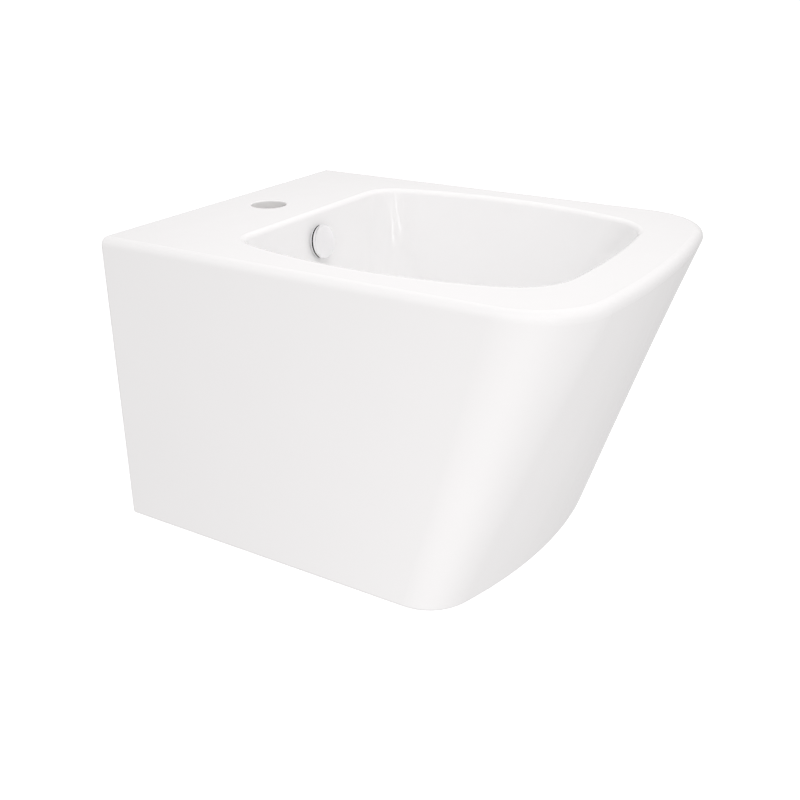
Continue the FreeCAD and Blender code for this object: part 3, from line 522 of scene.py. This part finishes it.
@dataclass
class Casting(SubAssembly):
    """The hollow china body with its basin."""

    slots: ClassVar[dict[str, Slot]] = {"ceramic_body": Slot.CERAMIC}


@dataclass
class OverflowFitting(SubAssembly):
    """The chrome cap and ring on the basin's back wall, with the seal behind them."""

    slots: ClassVar[dict[str, Slot]] = {
        "overflow_cap": Slot.CHROME, "overflow_ring": Slot.CHROME, "overflow_seal": Slot.RUBBER}


@dataclass
class WasteFitting(SubAssembly):
    """The waste through the drain, with the rings and the nut that hold it, and its threaded tail."""

    slots: ClassVar[dict[str, Slot]] = {
        "flange_gasket": Slot.RUBBER, "lower_gasket": Slot.RUBBER, "slip_washer": Slot.NYLON, "back_nut": Slot.BRASS}
    axis_y: float = -225 * MM
    tail_top: float = -112 * MM
    tail_foot: float = -129 * MM
    tail_slack: float = 0.2 * MM
    thread: ScrewThread = ScrewThread(foot=19.5 * MM, crest=20.95 * MM, pitch=2.309 * MM)

    def threaded_waste(self) -> bmesh.types.BMesh:
        """Turn the CAD waste's tail down to the foot of its pipe thread, and wind the thread on it.

        Returns:
            The waste's mesh, closed.
        """
        shape = self.joined_copy("waste_body")
        to_axis = Matrix.Translation((0.0, -self.axis_y, 0.0))
        tail = [vert for vert in shape.verts if vert.co.z < self.tail_top + self.tail_slack / 2
                and abs((to_axis @ vert.co).xy.length - self.thread.crest) < self.tail_slack]
        turned = self.thread.foot / self.thread.crest
        bmesh.ops.scale(shape, vec=(turned, turned, 1.0), space=to_axis, verts=tail)
        ridge = self.thread.ridge(self.tail_foot, self.tail_top)
        bmesh.ops.translate(ridge, verts=ridge.verts[:], vec=(0.0, self.axis_y, 0.0))
        wound = bpy.data.meshes.new("tail_ridge")
        ridge.to_mesh(wound)
        ridge.free()
        shape.from_mesh(wound)
        bpy.data.meshes.remove(wound)
        return shape

    def build(self) -> None:
        """Put the threaded waste in place of the plain one."""
        piece = self.add_piece("threaded_waste", self.threaded_waste(), Slot.CHROME)
        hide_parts("waste_body")


@dataclass
class PushPlug(SubAssembly):
    """The plug with its seal and stem, and the cartridge that holds it open or shut."""

    slots: ClassVar[dict[str, Slot]] = {
        "plug_cap": Slot.CHROME, "plug_seal": Slot.RUBBER, "plug_stem": Slot.BRASS,
        "cartridge_housing": Slot.NYLON, "cartridge_guide": Slot.NYLON}
    axis_y: float = -225 * MM
    spring_foot: float = -118 * MM
    travel: float = 8 * MM

    def build(self) -> None:
        """Put a welded copy of the CAD spring in place of the CAD one."""
        piece = self.add_piece("coil_spring", self.joined_copy("plug_spring"), Slot.STEEL)
        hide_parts("plug_spring")
        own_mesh(piece)


@dataclass
class WallFixings(SubAssembly):
    """The two sleeves, washers and threaded nuts on the wall's studs."""

    slots: ClassVar[dict[str, Slot]] = {
        "fixing_sleeves": Slot.NYLON, "fixing_washers": Slot.STEEL, "fixing_nuts": Slot.STEEL}
    spacing: float = 180 * MM
    nut_wall_side: float = -23.5 * MM
    nut_height: float = 10 * MM
    thread: ScrewThread = ScrewThread(foot=6.02 * MM, crest=5.05 * MM, pitch=1.75 * MM, steps=36)

    def nut_threads(self) -> bmesh.types.BMesh:
        """Wind the ridge inside each nut's bore.

        Returns:
            Two closed ridges, one in each nut.
        """
        shape = self.thread.ridge(0.0, self.nut_height)
        place = Matrix.Translation((self.spacing / 2, self.nut_wall_side, 0.0))
        into_nut = place @ Matrix.Rotation(math.pi / 2, 4, "X")
        bmesh.ops.transform(shape, verts=shape.verts[:], matrix=into_nut)
        other = bmesh.ops.duplicate(shape, geom=shape.verts[:] + shape.edges[:] + shape.faces[:])["geom"]
        bmesh.ops.translate(shape, verts=[vert for vert in other if isinstance(vert, bmesh.types.BMVert)],
                            vec=(-self.spacing, 0.0, 0.0))
        return shape

    def build(self) -> None:
        """Add the threads to the plain nuts."""
        self.add_piece("nut_threads", self.nut_threads(), Slot.STEEL)


class TentSide(Enum):
    """The six sides of the white tent, each by the way from the bidet to it."""

    LEFT = (-1.0, 0.0, 0.0)
    RIGHT = (1.0, 0.0, 0.0)
    FRONT = (0.0, -1.0, 0.0)
    BACK = (0.0, 1.0, 0.0)
    TOP = (0.0, 0.0, 1.0)
    FLOOR = (0.0, 0.0, -1.0)


@dataclass(frozen=True)
class Softbox:
    """A softbox: its middle, the point that it faces, its width and height, its power and the angle it shines into.

    One with a grid shines into a narrow angle, and is seen only as a glint.
    """

    name: str
    place: Point
    aim: Point
    width: float
    height: float
    power: float
    spread: float = 180.0
    only_glints: bool = False


@dataclass
class Studio:
    """White floor, soft light and the camera of the photograph."""

    floor_z: float = -1.2
    floor_paint: str = "FCFCFC"
    floor_lift: float = 0.45
    floor_size: float = 30.0
    floor_roughness: float = 0.9
    light_colour: str = "FFFDFD"
    eye: Point = (-0.80346, -0.68394, 0.3295)
    yaw: float = -59.21
    pitch: float = 23.96
    lens: float = 45.585
    sensor: float = 36.0
    far: float = 100.0
    backdrop: float = 1.02
    backdrop_colour: str = "FFFFFF"
    tent: dict[TentSide, float] = field(default_factory=lambda: {
        TentSide.LEFT: 0.72, TentSide.RIGHT: 0.63, TentSide.FRONT: 0.35, TentSide.BACK: 0.22,
        TentSide.TOP: 0.43, TentSide.FLOOR: 0.29})
    softboxes: tuple[Softbox, ...] = (
        Softbox("corner_softbox", (-0.75, -0.85, -0.35), (-0.17, -0.42, -0.03), 0.5, 0.5, 1.5),
        Softbox("upper_softbox", (-0.77, -1.74, 1.59), (0.0, -0.2, 0.05), 1.1, 1.1, 8.3),
        Softbox("top_softbox", (0.0, -0.25, 0.9), (0.0, -0.25, 0.0), 0.5, 0.5, 2.2),
        Softbox("left_strip", (-1.41, -0.88, 0.35), (0.12, -0.13, 0.05), 0.14, 0.18, 0.0009,
                spread=10.0, only_glints=True),
        Softbox("right_strip", (-0.98, -1.44, 0.35), (0.12, -0.13, 0.05), 0.14, 0.18, 0.0009,
                spread=10.0, only_glints=True),
    )

    def build(self) -> None:
        """Set up the camera, the floor and the lights."""
        self.set_camera()
        self.lay_floor()
        self.hang_tent()
        for softbox in self.softboxes:
            self.place_softbox(softbox)
        bpy.context.scene.view_settings.view_transform = "Standard"

    def set_camera(self) -> None:
        """Stand the camera where the photograph was taken from."""
        data = bpy.data.cameras.new("photo_camera")
        data.lens = self.lens
        data.sensor_width = self.sensor
        data.clip_end = self.far
        camera = bpy.data.objects.new("photo_camera", data)
        camera.location = self.eye
        camera.rotation_euler = (math.radians(90 - self.pitch), 0.0, math.radians(self.yaw))
        bpy.context.collection.objects.link(camera)
        bpy.context.scene.camera = camera

    def lay_floor(self) -> None:
        """Lay a plain pale floor far below, which throws no light back: the tent's lower half stands for that."""
        shape = bmesh.new()
        bmesh.ops.create_grid(shape, x_segments=1, y_segments=1, size=self.floor_size,
                              matrix=Matrix.Translation((0.0, 0.0, self.floor_z)))
        mesh = bpy.data.meshes.new("floor")
        shape.to_mesh(mesh)
        shape.free()
        material, tree = new_material("floor_paint")
        finish_material(tree, add_node(tree, "BsdfPrincipled", {
            "Base Color": linear(self.floor_paint), "Roughness": self.floor_roughness,
            "Emission Color": linear(self.floor_paint),
            "Emission Strength": self.floor_lift}))
        mesh.materials.append(material)
        floor = bpy.data.objects.new("floor", mesh)
        floor.visible_diffuse = False
        floor.visible_glossy = False
        floor.visible_shadow = False
        bpy.context.collection.objects.link(floor)

    def hang_tent(self) -> None:
        """Hang a white tent round the bidet, each side lit by its own amount."""
        world = bpy.data.worlds.new("white_tent")
        world.use_nodes = True
        tree = world.node_tree
        tree.nodes.clear()
        way = add_node(tree, "TexCoord").outputs["Generated"]
        total = 0.0
        for side, strength in self.tent.items():
            near = add_node(tree, "VectorMath", {0: way, 1: side.value}, operation="DOT_PRODUCT").outputs["Value"]
            part = add_node(tree, "MapRange", {"Value": near, "To Max": strength},
                            interpolation_type="SMOOTHSTEP").outputs[0]
            total = add_node(tree, "Math", {0: total, 1: part}, operation="ADD").outputs[0]
        seen = add_node(tree, "LightPath").outputs["Is Camera Ray"]
        shown = add_node(tree, "Mix", {0: seen, 2: total, 3: self.backdrop})
        colour = add_node(tree, "Mix", {0: seen, 6: linear(self.light_colour), 7: linear(self.backdrop_colour)},
                          data_type="RGBA")
        glow = add_node(tree, "Background", {"Color": colour.outputs[2], "Strength": shown.outputs[0]})
        add_node(tree, "OutputWorld", {"Surface": glow.outputs[0]})
        bpy.context.scene.world = world

    def place_softbox(self, softbox: Softbox) -> None:
        """Add a softbox, seen either as light on the surfaces or as a glint in them.

        Args:
            softbox: where it stands, what it faces, its size and its power.
        """
        data = bpy.data.lights.new(softbox.name, "AREA")
        data.shape = "RECTANGLE"
        data.size = softbox.width
        data.size_y = softbox.height
        data.energy = softbox.power
        data.spread = math.radians(softbox.spread)
        data.color = linear(self.light_colour)[:3]
        light = bpy.data.objects.new(softbox.name, data)
        light.location = softbox.place
        light.rotation_euler = (Vector(softbox.aim) - Vector(softbox.place)).to_track_quat("-Z", "Y").to_euler()
        light.visible_diffuse = not softbox.only_glints
        light.visible_glossy = softbox.only_glints
        bpy.context.collection.objects.link(light)


def main() -> None:
    """Build and dress the bidet's sub-assemblies, and set up the studio."""
    logging.basicConfig(level=logging.INFO)
    finishes: Finishes = {
        Slot.CERAMIC: GlazedChina().material(), Slot.CHROME: ChromePlate().material(),
        Slot.RUBBER: MouldedRubber().material(), Slot.NYLON: NaturalNylon().material(),
        Slot.BRASS: TurnedBrass().material(), Slot.STEEL: ZincSteel().material()}
    for assembly in (Casting(finishes), OverflowFitting(finishes), WasteFitting(finishes), PushPlug(finishes),
                     WallFixings(finishes)):
        assembly.build()
        assembly.dress()
    Studio().build()


if __name__ == "__main__":
    main()
